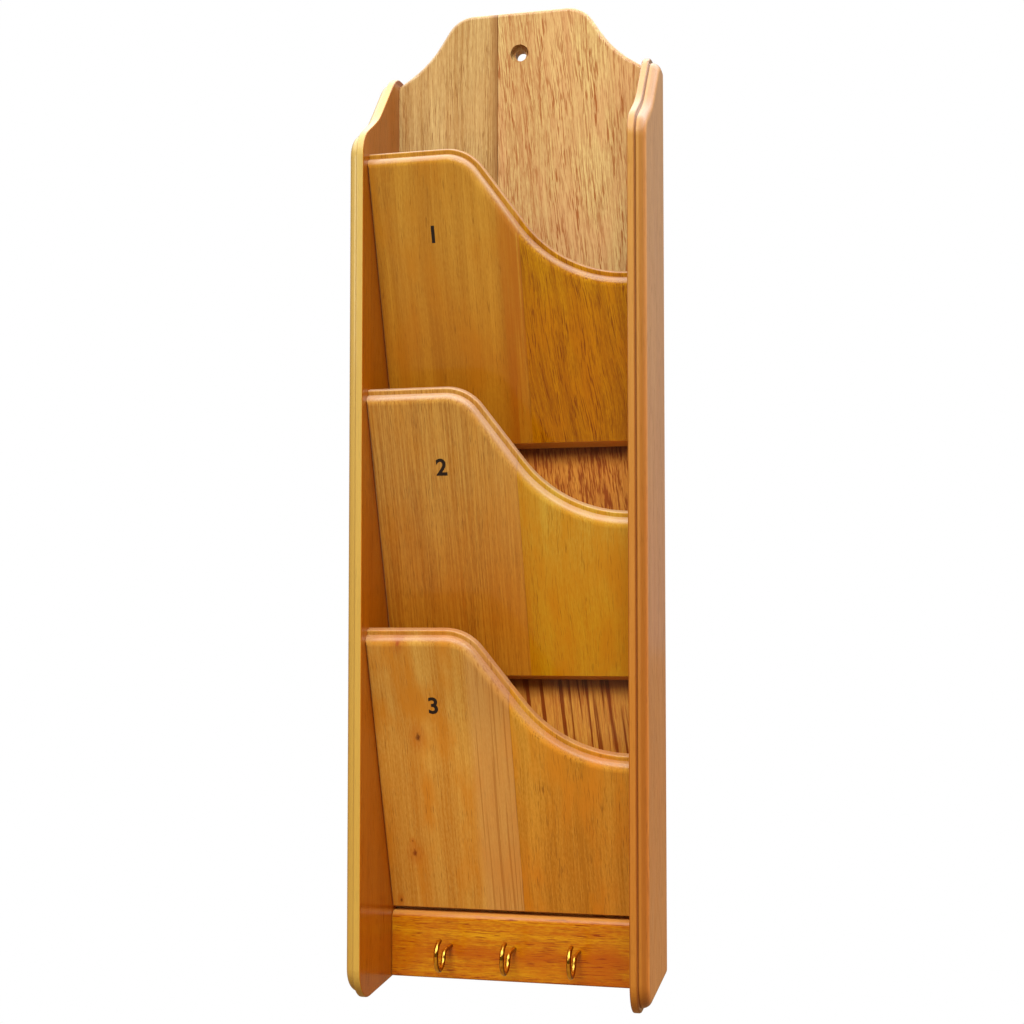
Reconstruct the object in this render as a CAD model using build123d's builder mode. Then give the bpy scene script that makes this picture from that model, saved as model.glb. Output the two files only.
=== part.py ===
"""Wall-hung letter rack in lacquered rubberwood: three leaning pockets over a rail of key hooks.

Frame: millimetres, +Z up, +X to the rack's right as it is faced, the wall is the plane Y = 0 and the
rack stands out along -Y. The origin is on the axis of the hanging hole, at the wall.
"""
import os
from math import asin, atan2, cos, degrees, hypot, radians, sin, tan

from build123d import *

os.makedirs("parts", exist_ok=True)

# Overall sizes
board = 9.0                 # thickness of every board
width = 154.0               # over the outer faces of the two sides
depth = 70.0                # wall to the front edge of the sides
back_height = 520.0         # bottom edge to the top of the crown

# Crown of the back: a flat top, an ogee down each shoulder, a slanting skirt to the side
crown_flat = 34.9           # half width of the flat, to its corner before rounding
crown_corner_r = 16.8
crown_shoulder = 16.3       # run of each shoulder, from that corner out to the hollow
crown_shoulder_drop = 24.9
crown_hollow_r = 60.0
crown_skirt_slope = 33.0    # degrees below level
crown_edge_r = 2.6          # roundover of the front arris
back_joint = -11.9          # glue line between the two boards of the back

# Hanging hole in the crown
hole_drop = 23.5            # axis below the top of the crown
hole_r = 3.0
hole_counterbore_r = 5.0
hole_counterbore_depth = 3.5

# Sides: a shoulder that drops from the wall in an ogee to the straight front edge
side_drop = 32.0            # top of the sides below the top of the crown
shoulder_flat = 13.5        # level run at the wall, to its corner before rounding
shoulder_crown_r = 20.5
shoulder_drop = 33.5        # from the level run to the hollow
shoulder_hollow = 26.8      # from the front edge back to the hollow
shoulder_hollow_r = 55.0
nose_drop = 17.5            # from the hollow to the corner at the front edge
nose_r = 17.0
foot_drop = 3.2             # bottom edge of the sides: its fall from the wall to the front corner
foot_r = 16.0               # bottom front corner

# Routed edge, a lip and a roundover, along the sides and the tops of the pocket fronts
lip = 2.5                   # height of the flat lip that stands above the roundover
mould_depth = 5.0           # how far the cutter reaches into the thickness
mould_quirk = 0.4           # upright step between the lip's face and the roundover
lip_ease = 1.0              # roundover of the lip's own arris
inner_ease = 0.8            # sanded arris on the inside of the sides

# Pocket fronts: alike, each of two boards, leaning out from the back
pocket_names = ("lower", "middle", "upper")
front_height = 153.5        # along the lean, from the bottom front arris to the high left end
front_set_back = 4.5        # crest of a front behind the front edge of the sides
dip_start = -15.5           # where the level crest turns down, to its corner before rounding
dip_start_r = 22.6
dip_run = 46.0              # from there to where the slope turns level again
dip_drop = 67.0
dip_end_r = 64.0
front_foot_slope = 16.0     # degrees, fall of the bottom edge from the room towards the wall
front_end_ease = 1.2        # sanded upright arrises that meet the sides
front_bevel = 1.0           # planed off the back of the foot, level with the arris, to bed on the back
front_joints = (4.5, 8.3, 9.3)   # glue line of each front, from the lowest up
front_gap = 0.2             # glue joint between the lowest front and the hook rail
crest_drop = 5.7            # crest of the top front below the front corner of the sides

# Hook rail and brass screw hooks
rail_height = 34.5
rail_top_r = 4.0
rail_bottom_r = 1.0
rail_end_ease = 0.8         # sanded arrises that meet the sides
hook_spacing = 34.5
hook_shift = -0.9           # middle hook from the middle of the rail
hook_level = 17.2           # shank above the bottom edge
hook_wire = 2.4
hook_loop_r = 7.4           # to the middle of the wire
hook_rise = 0.7             # shank above the middle of the loop
hook_bend_r = 4.2
hook_neck = 9.3             # straight wire between rail and bend
hook_tip_angle = 96.0       # end of the loop, counted up from the point that faces the room
hook_tip_flat = 0.2         # half width of the flat left at the rounded tip
hook_cover = 1.0            # wood of the rail left behind the screw
hook_pilot_clear = 0.1

# Blind dowels between the sides and what they carry
dowel_r = 2.5
dowel_in_board = 12.0
dowel_cover = 2.5           # wood of the side left over the end of a dowel hole
dowel_ease = 0.5
dowel_clear = 0.1           # glue film round a dowel
end_clear = 0.5             # spare depth of every blind hole
back_dowels_per_side = 4
back_dowel_margin = 45.0
front_dowel_bottom = 25.0   # along the lean, from the front's bottom edge
front_dowel_top = 27.0      # along the lean, down from the front's top edge at that end

# Worked out from the sizes above
pockets = len(pocket_names)
inner_half = width / 2 - board
side_height = back_height - side_drop
hole_height = back_height - hole_drop
land = board - mould_depth
mould_r = mould_depth - mould_quirk
routed_layers = (           # inset of the outline, thickness, start, roundover of the outer arris
    (0, land, 0, lip_ease),
    (lip, mould_depth, land, mould_r),
)
reach = back_height         # well past every edge, for outlines that are trimmed to a board
dowel_in_side = board - dowel_cover - end_clear
hook_thread = board - hook_cover - end_clear
front_low = front_height - dip_drop
front_stand_out = depth - front_set_back - board + front_bevel
lean = asin(front_stand_out / hypot(front_height, board)) - atan2(board, front_height)
foot_fall = (board * cos(lean) - front_bevel) * tan(radians(front_foot_slope))
lowest_front = rail_height + front_gap + foot_fall + board * sin(lean)
front_foot = board * tan(lean + radians(front_foot_slope))   # along the lean, below the front arris
crest_height = side_height - shoulder_drop - nose_drop - crest_drop
pitch = (crest_height - front_height * cos(lean) - lowest_front) / (pockets - 1)

back_plane = Plane(origin=(0, 0, -hole_height), x_dir=(1, 0, 0), z_dir=(0, -1, 0))
side_plane = Plane(origin=(-inner_half, 0, -hole_height), x_dir=(0, -1, 0), z_dir=(-1, 0, 0))


def front_plane(level):
    """Back face of a pocket front: x across, y up the lean, z towards the room."""
    origin = (0, -board + front_bevel, lowest_front + level * pitch - hole_height)
    return Plane(origin=origin, x_dir=(1, 0, 0), z_dir=(0, -cos(lean), -sin(lean)))


def save(piece, name):
    piece.part.label = name
    export_step(piece.part, f"parts/{name}.step")


def drill(points, into):
    """Blind dowel holes along X, centred on the joint so that each reaches its depth into the board."""
    length = 2 * (into + end_clear)
    with Locations(*points):
        Cylinder(dowel_r + dowel_clear, length, rotation=(0, 90, 0), mode=Mode.SUBTRACT)


def pegs(points):
    """Dowels along X through joints at these points, deeper in the board than in the side."""
    shift = (dowel_in_board - dowel_in_side) / 2
    for point in points:
        inwards = -shift if point.X > 0 else shift
        with Locations(point + Vector(inwards, 0, 0)):
            Cylinder(dowel_r, dowel_in_board + dowel_in_side, rotation=(0, 90, 0))
    chamfer(edges().filter_by(GeomType.CIRCLE), length=dowel_ease)


# Dowel places, on the planes where the sides meet the other boards
back_dowel_span = side_height - shoulder_drop - 2 * back_dowel_margin
back_dowel_step = back_dowel_span / (back_dowels_per_side - 1)
back_dowel_heights = [back_dowel_margin + back_dowel_step * i for i in range(back_dowels_per_side)]
back_dowel_points = {
    end: [Vector(end * inner_half, -board / 2, height - hole_height) for height in back_dowel_heights]
    for end in (-1, 1)
}
rail_dowel_points = {
    end: [Vector(end * inner_half, -1.5 * board, rail_height / 2 - hole_height)] for end in (-1, 1)
}
front_dowel_points = []
for level in range(pockets):
    ends = {}
    for end, height in ((-1, front_height), (1, front_low)):
        places = [(end * inner_half, y, board / 2) for y in (front_dowel_bottom, height - front_dowel_top)]
        ends[end] = [front_plane(level).from_local_coords(place) for place in places]
    front_dowel_points.append(ends)


def side_dowel_points(end):
    in_fronts = [point for ends in front_dowel_points for point in ends[end]]
    return back_dowel_points[end] + rail_dowel_points[end] + in_fronts


# Back: two boards edge to edge under one crown
hollow = crown_flat + crown_shoulder
hollow_height = back_height - crown_shoulder_drop
skirt_height = hollow_height - (reach - hollow) * tan(radians(crown_skirt_slope))
for name, x_low, x_high, end in (
    ("back_left_board", -inner_half, back_joint, -1),
    ("back_right_board", back_joint, inner_half, 1),
):
    with BuildPart() as back_board:
        with BuildSketch(back_plane):
            with BuildLine():
                FilletPolyline(
                    (-reach, skirt_height),
                    (-hollow, hollow_height),
                    (-crown_flat, back_height),
                    (crown_flat, back_height),
                    (hollow, hollow_height),
                    (reach, skirt_height),
                    radius=(crown_hollow_r, crown_corner_r, crown_corner_r, crown_hollow_r),
                )
                Polyline((reach, skirt_height), (reach, -reach), (-reach, -reach), (-reach, skirt_height))
            make_face()
            with Locations((x_low, 0)):
                Rectangle(x_high - x_low, back_height, align=(Align.MIN, Align.MIN), mode=Mode.INTERSECT)
        extrude(amount=board)
        front_edges = faces().sort_by(Axis.Y)[0].edges()
        crown_edges = (front_edges - front_edges.filter_by(Axis.Z)).sort_by(Axis.Z)[1:]
        fillet(crown_edges, crown_edge_r)
        if x_low < 0 < x_high:
            with Locations(Plane(origin=(0, -board, 0), z_dir=(0, -1, 0))):
                CounterBoreHole(hole_r, hole_counterbore_r, hole_counterbore_depth)
        drill(back_dowel_points[end], dowel_in_board)
    save(back_board, name)

# Sides: one blank, routed round the outside of its top, front and bottom, and its mirror image
with BuildPart() as side_blank:
    for inset, thickness, start, round_r in routed_layers:
        with BuildSketch(side_plane.offset(start)):
            with BuildLine():
                FilletPolyline(
                    (-reach, side_height),
                    (shoulder_flat, side_height),
                    (depth - shoulder_hollow, side_height - shoulder_drop),
                    (depth, side_height - shoulder_drop - nose_drop),
                    (depth, -foot_drop),
                    (-reach, foot_drop * reach / depth),
                    radius=(shoulder_crown_r, shoulder_hollow_r, nose_r, foot_r),
                )
                Line((-reach, foot_drop * reach / depth), (-reach, side_height))
            make_face()
            if inset:
                offset(amount=-inset)
            with Locations((0, -foot_drop)):
                Rectangle(depth, side_height + foot_drop, align=(Align.MIN, Align.MIN), mode=Mode.INTERSECT)
        extrude(amount=thickness)
        outer_edges = faces().sort_by(Axis.X)[0].edges().sort_by(Axis.Y)
        fillet(outer_edges[:-1], round_r)
    inner_edges = faces().sort_by(Axis.X)[-1].edges().sort_by(Axis.Y)
    fillet(inner_edges[:-1], inner_ease)

with BuildPart() as left_side:
    add(side_blank.part)
    drill(side_dowel_points(-1), dowel_in_side)
save(left_side, "left_side")

with BuildPart() as right_side:
    mirror(side_blank.part, about=Plane.YZ)
    drill(side_dowel_points(1), dowel_in_side)
save(right_side, "right_side")

# Hook rail: laid on the foot of the back between the sides
hook_places = [hook_shift + hook_spacing * i for i in (-1, 0, 1)]
with BuildPart() as hook_rail:
    with BuildSketch(back_plane.offset(board)):
        Rectangle(2 * inner_half, rail_height, align=(Align.CENTER, Align.MIN))
    extrude(amount=board)
    fillet(faces().sort_by(Axis.Y)[0].edges().sort_by(Axis.Z)[-1], rail_top_r)
    fillet(faces().sort_by(Axis.Y)[0].edges().sort_by(Axis.Z)[0], rail_bottom_r)
    for end in (0, -1):
        fillet(faces().sort_by(Axis.X)[end].edges().sort_by(Axis.Y)[:-1], rail_end_ease)
    pilot_r = hook_wire / 2 + hook_pilot_clear
    pilot_length = 2 * (hook_thread + end_clear)
    with Locations(*[(x, -2 * board, hook_level - hole_height) for x in hook_places]):
        Cylinder(pilot_r, pilot_length, rotation=(90, 0, 0), mode=Mode.SUBTRACT)
    for end in (-1, 1):
        drill(rail_dowel_points[end], dowel_in_board)
save(hook_rail, "hook_rail")

# Pocket fronts: one long blank with the dipping, routed top edge, cut into a left and a right board
for level, level_name in enumerate(pocket_names):
    plane = front_plane(level)
    outwards = Axis(plane.origin, plane.z_dir)
    up_the_lean = Axis(plane.origin, plane.y_dir)
    with BuildPart() as front_blank:
        for inset, thickness, start, round_r in routed_layers:
            with BuildSketch(plane.offset(start)):
                with BuildLine():
                    FilletPolyline(
                        (-reach, front_height),
                        (dip_start, front_height),
                        (dip_start + dip_run, front_low),
                        (reach, front_low),
                        radius=(dip_start_r, dip_end_r),
                    )
                    Polyline((reach, front_low), (reach, -reach), (-reach, -reach), (-reach, front_height))
                make_face()
                if inset:
                    offset(amount=-inset)
            extrude(amount=thickness)
            face_edges = faces().sort_by(outwards)[-1].edges()
            fillet(face_edges.filter_by_position(up_the_lean, 0, front_height + lip), round_r)
    for hand, x_low, x_high, end in (
        ("left", -inner_half, front_joints[level], -1),
        ("right", front_joints[level], inner_half, 1),
    ):
        with BuildPart() as front_board:
            add(front_blank.part)
            across_grain = Plane(origin=plane.origin, x_dir=(1, 0, 0), z_dir=plane.y_dir)
            with BuildSketch(across_grain.offset(-front_foot)):
                with Locations(((x_low + x_high) / 2, -board / 2)):
                    Rectangle(x_high - x_low, board)
                front_corners = vertices().group_by(Axis.Y)[0].sort_by(Axis.X)
                fillet(front_corners[0 if end < 0 else -1], front_end_ease)
            extrude(amount=front_foot + front_height, mode=Mode.INTERSECT)
            right_end = plane.from_local_coords((x_high, 0, 0))
            with BuildSketch(Plane(origin=right_end, x_dir=plane.z_dir, z_dir=(-1, 0, 0))):
                Polygon((0, -front_foot), (board, 0), (board, front_height), (0, front_height), align=None)
            extrude(amount=x_high - x_low, mode=Mode.INTERSECT)
            split(bisect_by=Plane(origin=(0, -board, 0), z_dir=(0, -1, 0)))
            drill(front_dowel_points[level][end], dowel_in_board)
        save(front_board, f"{level_name}_front_{hand}_board")

# Dowels, hidden in the joints
with BuildPart() as back_dowels:
    pegs(back_dowel_points[-1] + back_dowel_points[1])
save(back_dowels, "back_dowels")

with BuildPart() as rail_dowels:
    pegs(rail_dowel_points[-1] + rail_dowel_points[1])
save(rail_dowels, "rail_dowels")

for level, level_name in enumerate(pocket_names):
    with BuildPart() as front_dowels:
        pegs(front_dowel_points[level][-1] + front_dowel_points[level][1])
    save(front_dowels, f"{level_name}_front_dowels")

# Hooks: one bent brass wire each, screwed into the rail
hook_tip_r = hook_wire / 2 - hook_tip_flat
bend_tilt = degrees(asin((hook_rise - hook_bend_r) / (hook_loop_r + hook_bend_r)))
for name, x in zip(("left_hook", "middle_hook", "right_hook"), hook_places):
    entry = (x, -2 * board, hook_level - hole_height)
    with BuildPart() as hook:
        with BuildLine(Plane(origin=entry, x_dir=(0, -1, 0), z_dir=(-1, 0, 0))) as wire_path:
            shank = Line((-hook_thread, 0), (hook_neck, 0))
            bend = JernArc(shank @ 1, shank % 1, hook_bend_r, -90 - bend_tilt)
            JernArc(bend @ 1, bend % 1, hook_loop_r, 180 + bend_tilt + hook_tip_angle)
        with BuildSketch(Plane(origin=wire_path.line @ 0, z_dir=wire_path.line % 0)):
            Circle(hook_wire / 2)
        sweep()
        fillet(edges().filter_by(GeomType.CIRCLE).sort_by(Axis.Z)[-1], hook_tip_r)
    save(hook, name)
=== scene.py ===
import math

import bpy
from mathutils import Euler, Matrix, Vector


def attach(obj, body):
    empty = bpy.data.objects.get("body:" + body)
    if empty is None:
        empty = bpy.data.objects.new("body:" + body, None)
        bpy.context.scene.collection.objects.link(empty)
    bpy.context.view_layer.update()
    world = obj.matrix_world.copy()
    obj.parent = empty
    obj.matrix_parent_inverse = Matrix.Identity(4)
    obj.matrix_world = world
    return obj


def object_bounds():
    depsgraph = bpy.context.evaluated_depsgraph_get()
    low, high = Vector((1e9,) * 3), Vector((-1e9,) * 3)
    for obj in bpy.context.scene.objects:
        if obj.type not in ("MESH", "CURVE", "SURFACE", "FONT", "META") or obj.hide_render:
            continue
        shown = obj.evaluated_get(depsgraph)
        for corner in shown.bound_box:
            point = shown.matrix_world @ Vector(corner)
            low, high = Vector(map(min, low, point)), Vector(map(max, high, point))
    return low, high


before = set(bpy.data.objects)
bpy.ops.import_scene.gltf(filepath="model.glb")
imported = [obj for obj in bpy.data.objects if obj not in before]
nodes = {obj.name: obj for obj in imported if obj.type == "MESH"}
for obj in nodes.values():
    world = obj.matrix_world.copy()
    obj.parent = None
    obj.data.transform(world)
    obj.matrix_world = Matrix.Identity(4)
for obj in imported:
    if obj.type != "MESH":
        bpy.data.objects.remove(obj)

cad_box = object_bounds()

# Back
# Two rubberwood boards, sawn with the grain upright, glued edge to edge and lacquered. The left one
# is straight grained, the right one is full of short dark pores. They stand between the sides on dowels.


def link(tree, source, target):
    tree.links.new(source, target)


def math_node(tree, operation, first, second=None, third=None, clamp=False):
    """A math node whose inputs are sockets or plain numbers; returns its output."""
    node = tree.nodes.new("ShaderNodeMath")
    node.operation = operation
    node.use_clamp = clamp
    for socket, value in zip(node.inputs, (first, second, third)):
        if isinstance(value, (int, float)):
            socket.default_value = value
        elif value is not None:
            link(tree, value, socket)
    return node.outputs[0]


def times(tree, first, *others):
    """Product of masks and plain numbers."""
    for other in others:
        first = math_node(tree, "MULTIPLY", first, other)
    return first


def stretched_noise(tree, position, across, along, detail=2.0, roughness=0.5, shift=0.0):
    """Noise drawn out along the grain: one blotch is about across by along millimetres."""
    scale = tree.nodes.new("ShaderNodeMapping")
    scale.inputs["Scale"].default_value = (1 / across, 1 / across, 1 / along)
    scale.inputs["Location"].default_value = (shift, shift / 2, shift / 3)
    noise = tree.nodes.new("ShaderNodeTexNoise")
    noise.inputs["Scale"].default_value = 1.0
    noise.inputs["Detail"].default_value = detail
    noise.inputs["Roughness"].default_value = roughness
    link(tree, position, scale.inputs["Vector"])
    link(tree, scale.outputs["Vector"], noise.inputs["Vector"])
    return noise.outputs["Fac"]


def ramp(tree, value, start, full):
    """Smooth step of a value from 0 at start to 1 at full, which may be the lower of the two."""
    node = tree.nodes.new("ShaderNodeMapRange")
    node.interpolation_type = "SMOOTHSTEP"
    node.inputs["From Min"].default_value = start
    node.inputs["From Max"].default_value = full
    link(tree, value, node.inputs["Value"])
    return node.outputs["Result"]


def mix_colour(tree, factor, first, second, blend="MIX"):
    """Mixes two colours, each a socket or a plain linear colour; returns the output."""
    node = tree.nodes.new("ShaderNodeMix")
    node.data_type = "RGBA"
    node.blend_type = blend
    for socket, value in ((node.inputs[0], factor), (node.inputs[6], first), (node.inputs[7], second)):
        if isinstance(value, tuple):
            socket.default_value = (*value, 1.0)
        else:
            link(tree, value, socket)
    return node.outputs[2]


def sawn_hardwood_group():
    """Grain of one sawn board, in millimetres with the grain along Z and the flat of the board across X:
    broad bands, soft clouds, fine lines and fibres, and short dark pores."""
    group = bpy.data.node_groups.new("sawn_hardwood", "ShaderNodeTree")
    face = group.interface
    face.new_socket("Place", in_out="INPUT", socket_type="NodeSocketVector")
    for name in ("Pale", "Deep", "Cloud Colour", "Pore Colour"):
        face.new_socket(name, in_out="INPUT", socket_type="NodeSocketColor")
    for name in ("Seed", "Slant", "Wander", "Bands", "Clouds", "Lines", "Fibres", "Pores", "Pore Cover"):
        face.new_socket(name, in_out="INPUT", socket_type="NodeSocketFloat")
    face.new_socket("Color", in_out="OUTPUT", socket_type="NodeSocketColor")
    face.new_socket("Roughness", in_out="OUTPUT", socket_type="NodeSocketFloat")
    face.new_socket("Height", in_out="OUTPUT", socket_type="NodeSocketFloat")
    given = group.nodes.new("NodeGroupInput").outputs
    result = group.nodes.new("NodeGroupOutput").inputs

    # Another plank for each seed, whose grain leans and wanders to either side as it climbs
    split = group.nodes.new("ShaderNodeSeparateXYZ")
    link(group, given["Place"], split.inputs["Vector"])
    plank = group.nodes.new("ShaderNodeCombineXYZ")
    for axis, step in (("X", 37.0), ("Y", 53.0), ("Z", 211.0)):
        link(group, math_node(group, "MULTIPLY_ADD", given["Seed"], step, split.outputs[axis]),
             plank.inputs[axis])
    sway = stretched_noise(group, plank.outputs["Vector"], 40.0, 95.0, detail=1.0)
    aside = times(group, math_node(group, "SUBTRACT", sway, 0.5), given["Wander"])
    aside = math_node(group, "MULTIPLY_ADD", split.outputs["Z"], given["Slant"], aside)
    offset = group.nodes.new("ShaderNodeCombineXYZ")
    link(group, aside, offset.inputs["X"])
    moved = group.nodes.new("ShaderNodeVectorMath")
    link(group, plank.outputs["Vector"], moved.inputs[0])
    link(group, offset.outputs["Vector"], moved.inputs[1])
    grain = moved.outputs["Vector"]

    bands = ramp(group, stretched_noise(group, grain, 9.0, 260.0, detail=3.0), 0.3, 0.7)
    clouds = ramp(group, stretched_noise(group, grain, 14.0, 42.0, detail=3.0, shift=5.0), 0.4, 0.7)
    lines = ramp(group, stretched_noise(group, grain, 0.8, 60.0, detail=3.0, shift=7.0), 0.34, 0.66)
    fibres = ramp(group, stretched_noise(group, grain, 0.5, 2.6, shift=13.0), 0.3, 0.7)
    pore_field = ramp(group, stretched_noise(group, grain, 5.0, 30.0, detail=1.0, shift=3.0), 0.3, 0.7)
    pore_noise = stretched_noise(group, grain, 0.42, 9.0, detail=1.0, shift=11.0)
    pore_cut = ramp(group, math_node(group, "ADD", pore_noise, given["Pore Cover"]), 0.55, 0.64)
    pores = times(group, pore_cut, math_node(group, "MULTIPLY_ADD", pore_field, 0.7, 0.3))

    depth = times(group, bands, given["Bands"])
    depth = math_node(group, "MULTIPLY_ADD", lines, given["Lines"], depth)
    depth = math_node(group, "MULTIPLY_ADD", fibres, given["Fibres"], depth, clamp=True)
    colour = mix_colour(group, depth, given["Pale"], given["Deep"])
    colour = mix_colour(group, times(group, clouds, given["Clouds"]), colour, given["Cloud Colour"])
    colour = mix_colour(group, times(group, pores, given["Pores"]), colour, given["Pore Colour"])
    link(group, colour, result["Color"])

    smears = stretched_noise(group, given["Place"], 14.0, 30.0, detail=3.0, shift=23.0)
    rough = math_node(group, "MULTIPLY_ADD", smears, 0.16, 0.34)
    link(group, math_node(group, "MULTIPLY_ADD", pores, 0.12, rough), result["Roughness"])
    height = math_node(group, "MULTIPLY_ADD", pores, -0.8, times(group, lines, 0.25))
    link(group, height, result["Height"])
    return group


hardwood = sawn_hardwood_group()


def srgb(red, green, blue):
    """Linear colour of an sRGB one given from 0 to 255."""
    def linear(value):
        value /= 255
        return value / 12.92 if value <= 0.04045 else ((value + 0.055) / 1.055) ** 2.4
    return linear(red), linear(green), linear(blue)


def new_material(name):
    """An empty finish: the material, its node tree and its shader."""
    material = bpy.data.materials.new(name)
    material.use_nodes = True
    return material, material.node_tree, material.node_tree.nodes["Principled BSDF"]


def place_in_mm(tree, turn=(0.0, 0.0, 0.0)):
    """The piece's own place in millimetres, turned about the origin."""
    place = tree.nodes.new("ShaderNodeMapping")
    place.name = "place"
    place.inputs["Scale"].default_value = (1000, 1000, 1000)
    place.inputs["Rotation"].default_value = turn
    link(tree, tree.nodes.new("ShaderNodeTexCoord").outputs["Object"], place.inputs["Vector"])
    return place.outputs["Vector"]


def board_material(name, seed, pale, deep, cloud, pore, turn=(0.0, 0.0, 0.0), **amounts):
    """A lacquered board of its own plank. turn brings the board's grain upright, along Z."""
    material, tree, shader = new_material(name)
    grain = tree.nodes.new("ShaderNodeGroup")
    grain.node_tree = hardwood
    link(tree, place_in_mm(tree, turn), grain.inputs["Place"])
    for socket, colour in (("Pale", pale), ("Deep", deep), ("Cloud Colour", cloud), ("Pore Colour", pore)):
        grain.inputs[socket].default_value = (*srgb(*colour), 1.0)
    grain.inputs["Seed"].default_value = seed
    for socket, value in amounts.items():
        grain.inputs[socket.replace("_", " ").title()].default_value = value
    link(tree, grain.outputs["Color"], shader.inputs["Base Color"])
    link(tree, grain.outputs["Roughness"], shader.inputs["Roughness"])
    bump = tree.nodes.new("ShaderNodeBump")
    bump.inputs["Strength"].default_value = 0.25
    bump.inputs["Distance"].default_value = 0.0002
    link(tree, grain.outputs["Height"], bump.inputs["Height"])
    link(tree, bump.outputs["Normal"], shader.inputs["Normal"])
    shader.inputs["Specular IOR Level"].default_value = 0.15
    shader.inputs["Specular Tint"].default_value = (1.0, 0.72, 0.3, 1.0)
    shader.inputs["Coat Weight"].default_value = 0.8
    shader.inputs["Coat IOR"].default_value = 1.6
    shader.inputs["Coat Roughness"].default_value = 0.16
    return material


def finish_node(name, material):
    """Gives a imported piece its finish."""
    for slot in nodes[name].material_slots:
        slot.material = material


def place_axis(material, axis):
    """One coordinate of the board's place, in millimetres."""
    tree = material.node_tree
    split = tree.nodes.new("ShaderNodeSeparateXYZ")
    link(tree, tree.nodes["place"].outputs["Vector"], split.inputs["Vector"])
    return split.outputs[axis]


def tint(material, mask, colour, amount=1.0, blend="MIX"):
    """Mixes a colour into what the board already shows, by that amount where the mask is 1."""
    tree = material.node_tree
    base = tree.nodes["Principled BSDF"].inputs["Base Color"]
    shown = base.links[0].from_socket
    link(tree, mix_colour(tree, times(tree, mask, amount), shown, srgb(*colour), blend), base)


def stain_and_shade(material, mask, colour, amount=1.0):
    """Multiplies what the board shows by a colour: used for thin stains and, in most places, for painted
    shade.
    """
    tint(material, mask, colour, amount, "MULTIPLY")


def streaks(material, mask, size, cut, colour, amount, shift, place=None, detail=2.0, roughness=0.5):
    """Long blotches of another colour where the mask is 1. size is the width and length of one, and cut
    the range of the noise over which they set in."""
    tree = material.node_tree
    place = place or tree.nodes["place"].outputs["Vector"]
    blotches = ramp(tree, stretched_noise(tree, place, *size, detail, roughness, shift), *cut)
    tint(material, times(tree, blotches, mask), colour, amount)


def from_joint(material, joint):
    """Distance from the upright joint between two boards, in millimetres."""
    tree = material.node_tree
    return math_node(tree, "ABSOLUTE", math_node(tree, "SUBTRACT", place_axis(material, "X"), joint))


def glue_line(material, joint, colour, amount):
    """Dark glue in the joint between two boards, broken here and there."""
    tree = material.node_tree
    seam = ramp(tree, from_joint(material, joint), 0.6, 0.1)
    streaks(material, seam, (3.0, 18.0), (0.3, 0.6), colour, amount, shift=31.0)


back_left = board_material(
    "straight_back_board", 1, (193, 166, 112), (152, 115, 67), (179, 139, 87), (118, 72, 36),
    wander=3.0, bands=0.5, clouds=0.3, lines=0.45, fibres=0.25, pores=0.8, pore_cover=-0.01)
straight_tree = back_left.node_tree
back_joint = -11.9
shade_width = 5.0
straight_place = straight_tree.nodes["place"].outputs["Vector"]
uneven = stretched_noise(straight_tree, straight_place, 1.2, 40.0, shift=29.0)
beside_joint = ramp(straight_tree, from_joint(back_left, back_joint), shade_width, 0.0)
tint(back_left, times(straight_tree, beside_joint, uneven), (122, 78, 40), amount=1.6)
glue_line(back_left, back_joint, (64, 40, 26), amount=0.9)
finish_node("back_left_board", back_left)

back_right = board_material(
    "flecked_back_board", 2, (200, 178, 119), (165, 121, 76), (188, 142, 98), (136, 74, 34),
    slant=0.09, wander=8.0, bands=0.4, clouds=0.5, lines=0.4, fibres=0.3, pores=0.9, pore_cover=0.05)
flecked_tree = back_right.node_tree
board_height = place_axis(back_right, "Z")
behind_face, near_face = -4.0, -8.0
on_face = ramp(flecked_tree, place_axis(back_right, "Y"), behind_face, near_face)

# Inside the pockets the board is darkened with painted shade where the fronts keep the light off, and
# reddened, with red flecks, and lower down it is streaked heartwood
pocket_start, pocket_full = -170.0, -215.0
in_pockets = times(flecked_tree, ramp(flecked_tree, board_height, pocket_start, pocket_full), on_face)
heart_start, heart_full = -300.0, -330.0
in_heartwood = times(flecked_tree, ramp(flecked_tree, board_height, heart_start, heart_full), on_face)
# Painted shade: darker inside the pockets, a little more above the heartwood, and redder
stain_and_shade(back_right, in_pockets, (254, 222, 138))
stain_and_shade(back_right, math_node(flecked_tree, "SUBTRACT", in_pockets, in_heartwood), (252, 232, 224))
tint(back_right, in_pockets, (208, 142, 64), amount=0.32)
grain_lean = math.radians(7)
leaning = flecked_tree.nodes.new("ShaderNodeMapping")
leaning.inputs["Rotation"].default_value = (0.0, grain_lean, 0.0)
link(flecked_tree, flecked_tree.nodes["place"].outputs["Vector"], leaning.inputs["Vector"])
flecks_kept = math_node(flecked_tree, "MULTIPLY_ADD", in_heartwood, -0.8, 1.0)
in_flecks = times(flecked_tree, in_pockets, flecks_kept)
streaks(back_right, in_flecks, (0.9, 9.0), (0.46, 0.6), (118, 46, 18), 0.8,
        shift=53.0, place=leaning.outputs["Vector"], roughness=0.6)
streaks(back_right, in_heartwood, (3.6, 110.0), (0.5, 0.58), (106, 36, 6), 0.9,
        shift=19.0, place=leaning.outputs["Vector"], detail=3.0)

# Painted shadow on the back under the feet of the two upper fronts, darkest in the corner where each foot
# meets the back
shadow_depth, bedded_foot = 13.0, 8.0
for corner in (-338.8, -215.7):
    below = math_node(flecked_tree, "SUBTRACT", corner, board_height)
    under_foot_shadow = ramp(flecked_tree, below, shadow_depth, 0.0)
    behind_foot = ramp(flecked_tree, below, -bedded_foot, 0.0)
    stain_and_shade(back_right, times(flecked_tree, under_foot_shadow, behind_foot, on_face), (128, 88, 78), amount=0.9)
finish_node("back_right_board", back_right)

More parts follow.
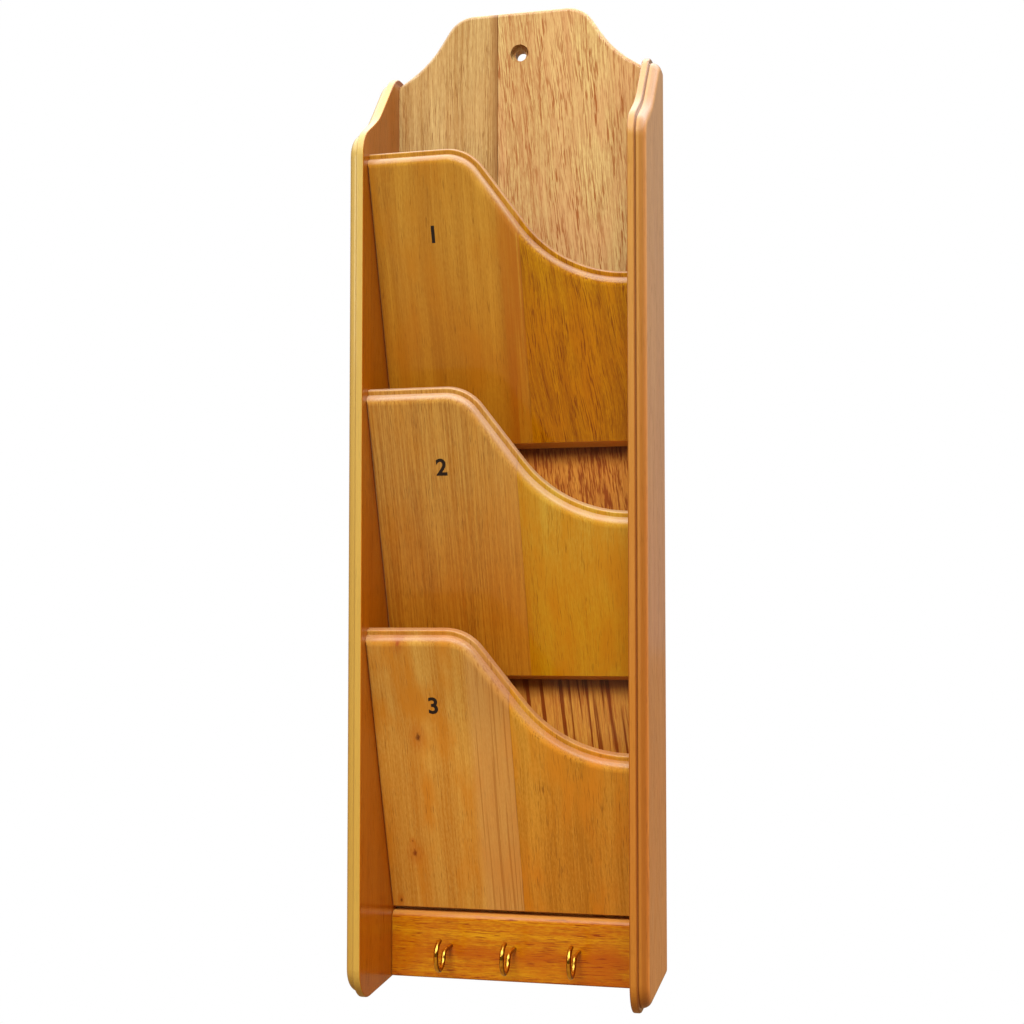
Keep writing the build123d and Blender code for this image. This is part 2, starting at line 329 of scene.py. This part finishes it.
# Sides
# Two boards shaped to an ogee at the top, routed round the outside with a lip and a roundover, then sanded
# and lacquered. The worked edges are paler wood with a painted highlight, and painted shade darkens the
# inner faces, the step of the moulding, the right roundover and the lower part of each side.


def worked_edge_and_highlight(material, outward, colour, amount):
    """Paler wood where the router cut through the stained face, with a painted highlight on it: wherever
    the surface turns away from the flat of the board, whose direction is outward."""
    tree = material.node_tree
    turned = tree.nodes.new("ShaderNodeVectorMath")
    turned.operation = "DOT_PRODUCT"
    turned.inputs[1].default_value = outward
    link(tree, tree.nodes.new("ShaderNodeTexCoord").outputs["Normal"], turned.inputs[0])
    flat = math_node(tree, "ABSOLUTE", turned.outputs["Value"])
    tint(material, ramp(tree, flat, 0.97, 0.6), colour, amount)


def facing(material, axis):
    """How far the surface faces along one axis, from -1 to 1."""
    tree = material.node_tree
    split = tree.nodes.new("ShaderNodeSeparateXYZ")
    link(tree, tree.nodes.new("ShaderNodeTexCoord").outputs["Normal"], split.inputs["Vector"])
    return split.outputs[axis]


across_y = (0.0, 0.0, math.radians(90))
side_thickness, moulding_depth = 9.0, 5.0
inner_face = 68.0
shaded_groove = inner_face + side_thickness - moulding_depth
crest_height, foot_height = 10.0, -420.0
side_boards = {
    "left_side": {
        "seed": 3, "end": -1,
        "wood": ((194, 150, 66), (172, 120, 44), (182, 130, 52), (100, 54, 18)),
        "edge": (184, 166, 100), "round": (255, 252, 248), "shaded_groove": 0.2,
        "inside": (240, 186, 36), "crest": (220, 208, 190), "foot": (250, 232, 186),
    },
    "right_side": {
        "seed": 4, "end": 1,
        "wood": ((222, 170, 107), (198, 141, 82), (212, 149, 90), (110, 60, 26)),
        "edge": (158, 118, 54), "round": (226, 212, 204), "shaded_groove": 0.75,
        "inside": (246, 222, 160), "crest": (252, 248, 242), "foot": (246, 210, 152),
    },
}
for name, look in side_boards.items():
    side = board_material(
        f"{name}_board", look["seed"], *look["wood"], turn=across_y,
        wander=4.0, bands=0.45, clouds=0.35, lines=0.5, fibres=0.2, pores=0.6, pore_cover=-0.03)
    side_tree = side.node_tree
    # Paler routed wood with a painted highlight; the edge colours also paint the left edge as lit and the
    # right one as shaded
    worked_edge_and_highlight(side, (1, 0, 0), look["edge"], 0.75)
    # Painted shade on the right roundover, which faces away from the light
    sideways = math_node(side_tree, "ABSOLUTE", facing(side, "X"))
    on_round = times(side_tree, ramp(side_tree, sideways, 0.1, 0.4), ramp(side_tree, sideways, 0.99, 0.8))
    stain_and_shade(side, on_round, look["round"])
    outward_place = times(side_tree, place_axis(side, "Y"), look["end"])
    # Painted shade: a dark line along the step of the moulding, strong on the right side
    from_groove = math_node(side_tree, "ABSOLUTE", math_node(side_tree, "SUBTRACT", outward_place, shaded_groove))
    tint(side, ramp(side_tree, from_groove, 0.6, 0.1), (104, 50, 20), look["shaded_groove"])
    # Painted shade on the inner faces, deep on the left side, with more of it higher up
    inside = ramp(side_tree, outward_place, inner_face + 0.5, inner_face + 0.05)
    stain_and_shade(side, inside, look["inside"])
    side_height = place_axis(side, "Z")
    crest_shade_mask = ramp(side_tree, side_height, foot_height, crest_height)
    stain_and_shade(side, times(side_tree, inside, crest_shade_mask), look["crest"])
    # Painted shade: warmer and darker towards the foot
    foot_shade_mask = ramp(side_tree, side_height, crest_height, foot_height)
    stain_and_shade(side, foot_shade_mask, look["foot"])
    finish_node(name, side)

# Dowels
# Plain turned pegs of pale hardwood, glued in blind holes across the joints, so that no fixing shows on
# the outside.
along_x = (0.0, math.radians(90), 0.0)
dowel_wood = board_material(
    "turned_dowel", 5, (220, 190, 140), (200, 165, 115), (206, 170, 118), (150, 110, 70), turn=along_x,
    wander=1.0, bands=0.4, clouds=0.2, lines=0.4, pores=0.3)
for name in nodes:
    if name.endswith("_dowels"):
        finish_node(name, dowel_wood)

# Pocket fronts
# Each is two boards glued edge to edge with the grain up the lean; the top edge dips in an S and carries
# the same routed lip and roundover as the sides.
lean = math.radians(18.604)
level_grain = (-lean, 0.0, 0.0)
front_boards = {
    "upper_front_left_board": board_material(
        "satin_front_board", 6, (186, 141, 52), (158, 108, 33), (172, 114, 27), (89, 48, 14),
        turn=level_grain,
        wander=6.0, bands=0.7, clouds=0.6, lines=0.3, fibres=0.3, pores=0.45, pore_cover=-0.05),
    "upper_front_right_board": board_material(
        "ribbon_front_board", 7, (194, 146, 11), (151, 96, 2), (178, 118, 2), (115, 56, 6),
        turn=level_grain,
        slant=0.08, wander=12.0, bands=0.6, clouds=0.7, lines=0.4, fibres=0.35, pores=0.9, pore_cover=0.02),
    "middle_front_left_board": board_material(
        "fine_front_board", 8, (189, 146, 70), (149, 95, 36), (177, 116, 32), (77, 39, 14),
        turn=level_grain,
        wander=2.0, bands=0.15, clouds=0.4, lines=0.5, fibres=0.25, pores=0.5, pore_cover=-0.03),
    "middle_front_right_board": board_material(
        "golden_front_board", 9, (197, 168, 70), (182, 129, 29), (190, 135, 26), (113, 65, 10),
        turn=level_grain,
        wander=8.0, bands=0.35, clouds=0.8, lines=0.25, fibres=0.35, pores=0.5, pore_cover=-0.05),
    "lower_front_left_board": board_material(
        "knotty_front_board", 10, (215, 170, 80), (184, 124, 42), (197, 126, 30), (96, 48, 17),
        turn=level_grain,
        wander=6.0, bands=0.55, clouds=0.9, lines=0.35, fibres=0.35, pores=0.45, pore_cover=-0.05),
    "lower_front_right_board": board_material(
        "plain_front_board", 11, (210, 159, 60), (176, 121, 31), (200, 132, 31), (96, 49, 17),
        turn=level_grain,
        wander=5.0, bands=0.75, clouds=0.9, lines=0.35, fibres=0.4, pores=0.55, pore_cover=-0.03),
}
outward = Vector((0, -math.cos(lean), -math.sin(lean)))
up_lean = Vector((0, -math.sin(lean), math.cos(lean)))
front_foot = {
    "lower": Vector((0, -0.008, -0.45677)),
    "middle": Vector((0, -0.008, -0.333725)),
    "upper": Vector((0, -0.008, -0.210679)),
}
front_joints = {"upper": 9.3, "middle": 8.3, "lower": 4.5}


def up_board(level, height):
    """Place up the grain of a point that is so many millimetres up the front from its foot."""
    return 1000 * front_foot[level].dot(up_lean) + height


# The upper left board has dark heart streaks next to the glue line
satin = front_boards["upper_front_left_board"]
heart_edge, heart_core = -8.0, 4.0
in_heart = ramp(satin.node_tree, place_axis(satin, "X"), heart_edge, heart_core)
streaks(satin, in_heart, (2.2, 120.0), (0.4, 0.6), (150, 72, 6), 0.5, shift=47.0)

# The lower left board has lined sapwood along the glue line, a crest darkened with painted shade and five
# small knots
knotty = front_boards["lower_front_left_board"]
sapwood_edge, sapwood_full = -20.0, -13.0
in_sapwood = ramp(knotty.node_tree, place_axis(knotty, "X"), sapwood_edge, sapwood_full)
tint(knotty, in_sapwood, (200, 150, 88), amount=0.5)
streaks(knotty, in_sapwood, (1.3, 150.0), (0.55, 0.62), (150, 88, 26), 0.45, shift=41.0)


def knot(material, across, up_grain, radius, colour):
    """A small knot: a dark heart in a paler ring of turned grain. Its place is in millimetres, across the
    rack and up the grain."""
    tree = material.node_tree
    away = tree.nodes.new("ShaderNodeVectorMath")
    away.operation = "SUBTRACT"
    away.inputs[1].default_value = (across, 0.0, up_grain)
    link(tree, tree.nodes["place"].outputs["Vector"], away.inputs[0])
    flat = tree.nodes.new("ShaderNodeVectorMath")
    flat.operation = "MULTIPLY"
    flat.inputs[1].default_value = (1.0, 0.0, 0.6)
    link(tree, away.outputs["Vector"], flat.inputs[0])
    distance = tree.nodes.new("ShaderNodeVectorMath")
    distance.operation = "LENGTH"
    link(tree, flat.outputs["Vector"], distance.inputs[0])
    ragged = stretched_noise(tree, away.outputs["Vector"], 0.9, 1.6)
    reach = math_node(tree, "MULTIPLY_ADD", ragged, radius, distance.outputs["Value"])
    tint(material, ramp(tree, reach, 4.0 * radius, 0.8 * radius), (176, 92, 18), amount=0.45)
    tint(material, ramp(tree, reach, 1.4 * radius, 0.6 * radius), colour, amount=0.9)


for across, height, radius, heart_colour in (
        (-44.7, 97.0, 2.0, (84, 30, 8)),
        (-52.4, 31.2, 1.8, (112, 42, 12)),
        (-53.1, 38.3, 0.6, (96, 44, 12)),
        (-62.6, 3.4, 1.1, (60, 20, 10)),
        (-51.0, 148.0, 1.6, (160, 76, 34))):
    knot(knotty, across, up_board("lower", height), radius, heart_colour)
# Painted shade: the board is darker towards its crest
crest_start, crest_full = up_board("lower", 85.0), up_board("lower", 125.0)
stain_and_shade(knotty, ramp(knotty.node_tree, place_axis(knotty, "Z"), crest_start, crest_full), (236, 236, 240))

# The two middle boards come closer in colour towards their glue line
fine = front_boards["middle_front_left_board"]
paler_start, paler_full = -22.0, 6.0
near_joint = ramp(fine.node_tree, place_axis(fine, "X"), paler_start, paler_full)
tint(fine, near_joint, (206, 156, 78), amount=0.22)
golden = front_boards["middle_front_right_board"]
darker_start, darker_full = 30.0, front_joints["middle"]
near_joint = ramp(golden.node_tree, place_axis(golden, "X"), darker_start, darker_full)
stain_and_shade(golden, near_joint, (246, 236, 210))

# Painted shade: each front is darker and warmer towards its foot
foot_shade_start, foot_shade_full = 125.0, 20.0
foot_shade_colours = {
    "upper_front_left_board": (252, 226, 158),
    "upper_front_right_board": (254, 230, 150),
    "middle_front_left_board": (250, 214, 124),
    "middle_front_right_board": (255, 231, 112),
    "lower_front_left_board": (255, 250, 240),
    "lower_front_right_board": (254, 236, 212),
}
edge_highlight_colours = {"upper": (168, 144, 134), "middle": (190, 168, 160), "lower": (152, 114, 108)}
for name, front_board in front_boards.items():
    level = name.split("_")[0]
    front_tree = front_board.node_tree
    glue_line(front_board, front_joints[level], (96, 50, 16), amount=0.35)
    foot_shade_mask = ramp(
        front_tree, place_axis(front_board, "Z"), up_board(level, foot_shade_start), up_board(level, foot_shade_full))
    stain_and_shade(front_board, foot_shade_mask, foot_shade_colours[name])
    # Paler routed wood with a painted highlight on the moulding, set for each level
    worked_edge_and_highlight(front_board, outward, edge_highlight_colours[level], 0.38)
    # Painted light: the downward-facing undersides of the feet are brightened as if lit
    painted_lit_underside = ramp(front_tree, facing(front_board, "Z"), -0.5, -0.85)
    tint(front_board, painted_lit_underside, (250, 184, 92))
    finish_node(name, front_board)

# Numbers
# Plain figures screen-printed in black ink on the upper left of each front, one for each pocket. The
# film of ink is thin, and browner where the wood shows through.
ink, ink_tree, ink_shader = new_material("printed_ink")
ink_noise = stretched_noise(ink_tree, place_in_mm(ink_tree), 0.5, 0.5, detail=3.0)
thin_ink = ramp(ink_tree, ink_noise, 0.5, 0.8)
ink_colour = mix_colour(ink_tree, thin_ink, srgb(18, 14, 18), srgb(52, 38, 28))
link(ink_tree, ink_colour, ink_shader.inputs["Base Color"])
link(ink_tree, math_node(ink_tree, "MULTIPLY_ADD", thin_ink, 0.2, 0.35), ink_shader.inputs["Roughness"])

front_face = 0.009
ink_film = 0.00004
figure_height = 0.0085
height_of_type = 0.7
stroke_swell = 0.0003
figure_place = {
    "upper": ("1", -0.036, 0.1073),
    "middle": ("2", -0.031, 0.1093),
    "lower": ("3", -0.035, 0.1105),
}
for level, (figure, across, up) in figure_place.items():
    print_curve = bpy.data.curves.new(f"{level}_number", "FONT")
    print_curve.body = figure
    print_curve.size = figure_height / height_of_type
    print_curve.align_x = "CENTER"
    print_curve.offset = stroke_swell
    print_curve.extrude = ink_film / 2
    pattern = bpy.data.objects.new(f"{level}_number_pattern", print_curve)
    figure_mesh = bpy.data.meshes.new_from_object(pattern)
    bpy.data.objects.remove(pattern)
    printed = bpy.data.objects.new(f"{level}_number", figure_mesh)
    figure_mesh.materials.clear()
    figure_mesh.materials.append(ink)
    beside = Vector((across, 0, 0))
    printed.location = front_foot[level] + beside + up_lean * up + outward * (front_face + ink_film / 2)
    printed.rotation_euler = (math.radians(90) + lean, 0.0, 0.0)
    bpy.context.scene.collection.objects.link(printed)
    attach(printed, "root")

# Hook rail
# A short board with the grain lengthways, glued across the foot of the back and dowelled to the sides;
# its top front arris is rounded over.
rail = board_material(
    "rail_board", 13, (208, 157, 14), (172, 94, 3), (162, 74, 3), (118, 30, 3), turn=along_x,
    wander=5.0, bands=0.75, clouds=0.8, lines=0.25, fibres=0.35, pores=1.0, pore_cover=-0.02)
# Paler routed wood with a painted highlight on the rounded top arris
worked_edge_and_highlight(rail, (0, 1, 0), (192, 144, 74), 0.6)
finish_node("hook_rail", rail)

# Hooks
# Three hooks bent from brass wire, screwed into the rail by hand. The brass is tarnished in patches, and
# the flanks of the wire, those facing sideways, are darkened with painted shade.
brass, brass_tree, brass_shader = new_material("bright_brass")
tarnish_noise = stretched_noise(brass_tree, place_in_mm(brass_tree), 2.0, 2.0, detail=4.0)
tarnish = ramp(brass_tree, tarnish_noise, 0.4, 0.75)
rubbed = mix_colour(brass_tree, tarnish, srgb(254, 208, 88), srgb(212, 150, 48))
# Painted shade: the sideways-facing flanks of the wire are darkened
shaded_flank = ramp(brass_tree, math_node(brass_tree, "ABSOLUTE", facing(brass, "X")), 0.4, 0.95)
brass_colour = mix_colour(brass_tree, shaded_flank, rubbed, srgb(118, 66, 16))
link(brass_tree, brass_colour, brass_shader.inputs["Base Color"])
brass_roughness = math_node(brass_tree, "MULTIPLY_ADD", tarnish, 0.14, 0.08)
link(brass_tree, brass_roughness, brass_shader.inputs["Roughness"])
brass_shader.inputs["Metallic"].default_value = 1.0
for name in ("left_hook", "middle_hook", "right_hook"):
    finish_node(name, brass)

# Floor, light and camera
# A floor well below the hanging rack and a room that is bright overhead. The camera sees both as plain
# white, but they light the rack warmly, with a large soft lamp above and in front and three weaker ones.
# The camera has the photograph's viewpoint.
low, high = cad_box


def seen_white(tree, shading):
    """White where the camera looks straight at it; it lights the rack by its own shading."""
    plain = tree.nodes.new("ShaderNodeEmission")
    sight = tree.nodes.new("ShaderNodeLightPath")
    choice = tree.nodes.new("ShaderNodeMixShader")
    link(tree, sight.outputs["Is Camera Ray"], choice.inputs[0])
    link(tree, shading, choice.inputs[1])
    link(tree, plain.outputs[0], choice.inputs[2])
    return choice.outputs[0]


floor_drop = 0.12
reach = 15.0
floor_mesh = bpy.data.meshes.new("floor")
floor_corners = [(-reach, -reach, 0), (reach, -reach, 0), (reach, reach, 0), (-reach, reach, 0)]
floor_mesh.from_pydata(floor_corners, [], [(0, 1, 2, 3)])
floor = bpy.data.objects.new("floor", floor_mesh)
floor.location = (0, 0, low.z - floor_drop)
bpy.context.scene.collection.objects.link(floor)
pale_floor, floor_tree, floor_shader = new_material("pale_floor")
floor_shader.inputs["Base Color"].default_value = (0.16, 0.09, 0.03, 1.0)
floor_shader.inputs["Roughness"].default_value = 0.9
floor_output = floor_tree.nodes["Material Output"]
link(floor_tree, seen_white(floor_tree, floor_shader.outputs[0]), floor_output.inputs["Surface"])
floor_mesh.materials.append(pale_floor)

world = bpy.data.worlds.new("white_room")
bpy.context.scene.world = world
world.use_nodes = True
room = world.node_tree
sky = room.nodes["Background"]
heading = room.nodes.new("ShaderNodeSeparateXYZ")
link(room, room.nodes.new("ShaderNodeTexCoord").outputs["Generated"], heading.inputs["Vector"])
overhead = ramp(room, heading.outputs["Z"], 0.4, 0.75)
behind_rack = ramp(room, heading.outputs["Y"], 0.2, 0.9)
warm_walls = (0.1, 0.07, 0.03)
pale_wall = (0.34, 0.28, 0.22)
bright_ceiling = (2.5, 2.48, 2.4)
walls = mix_colour(room, behind_rack, warm_walls, pale_wall)
link(room, mix_colour(room, overhead, walls, bright_ceiling), sky.inputs["Color"])
link(room, seen_white(room, sky.outputs[0]), room.nodes["World Output"].inputs["Surface"])


def soft_light(name, place, size, power, colour, mirrored=False):
    """A square lamp that faces the middle of the rack; only a mirrored one shows in the lacquer."""
    lamp = bpy.data.lights.new(name, "AREA")
    lamp.shape = "SQUARE"
    lamp.size = size
    lamp.energy = power
    lamp.color = colour
    holder = bpy.data.objects.new(name, lamp)
    holder.location = place
    towards_rack = (low + high) / 2 - Vector(place)
    holder.rotation_euler = towards_rack.to_track_quat("-Z", "Y").to_euler()
    holder.visible_glossy = mirrored
    bpy.context.scene.collection.objects.link(holder)


soft_light("key_light", (0.1, -1.75, 1.5), size=1.0, power=60.0, colour=(1.0, 0.97, 0.91))
soft_light("front_light", (0.5, -2.2, 0.1), size=1.4, power=11.0, colour=(1.0, 0.95, 0.86))
soft_light("right_light", (1.7, -0.5, 0.5), size=0.9, power=9.0, colour=(1.0, 0.95, 0.91))
soft_light("left_window", (-1.1, -1.3, 0.3), size=0.4, power=1.8, colour=(1.0, 0.97, 0.9), mirrored=True)

image_pixels = 1024
focal_pixels = 1521.5
shift_pixels = 40
camera_tilt = math.radians(2.6164)
camera_turn = math.radians(13.2629)
foot_below_hole = 0.4965
camera_above_foot = 0.18835
camera = bpy.data.cameras.new("camera")
camera.sensor_width = 36.0
camera.lens = camera.sensor_width * focal_pixels / image_pixels
camera.shift_y = shift_pixels / image_pixels
camera_holder = bpy.data.objects.new("camera", camera)
camera_holder.location = (0.18261, -0.80125, camera_above_foot - foot_below_hole)
camera_holder.rotation_euler = Euler((math.radians(90) + camera_tilt, 0.0, camera_turn))
bpy.context.scene.collection.objects.link(camera_holder)
bpy.context.scene.camera = camera_holder
bpy.context.scene.view_settings.view_transform = "Standard"
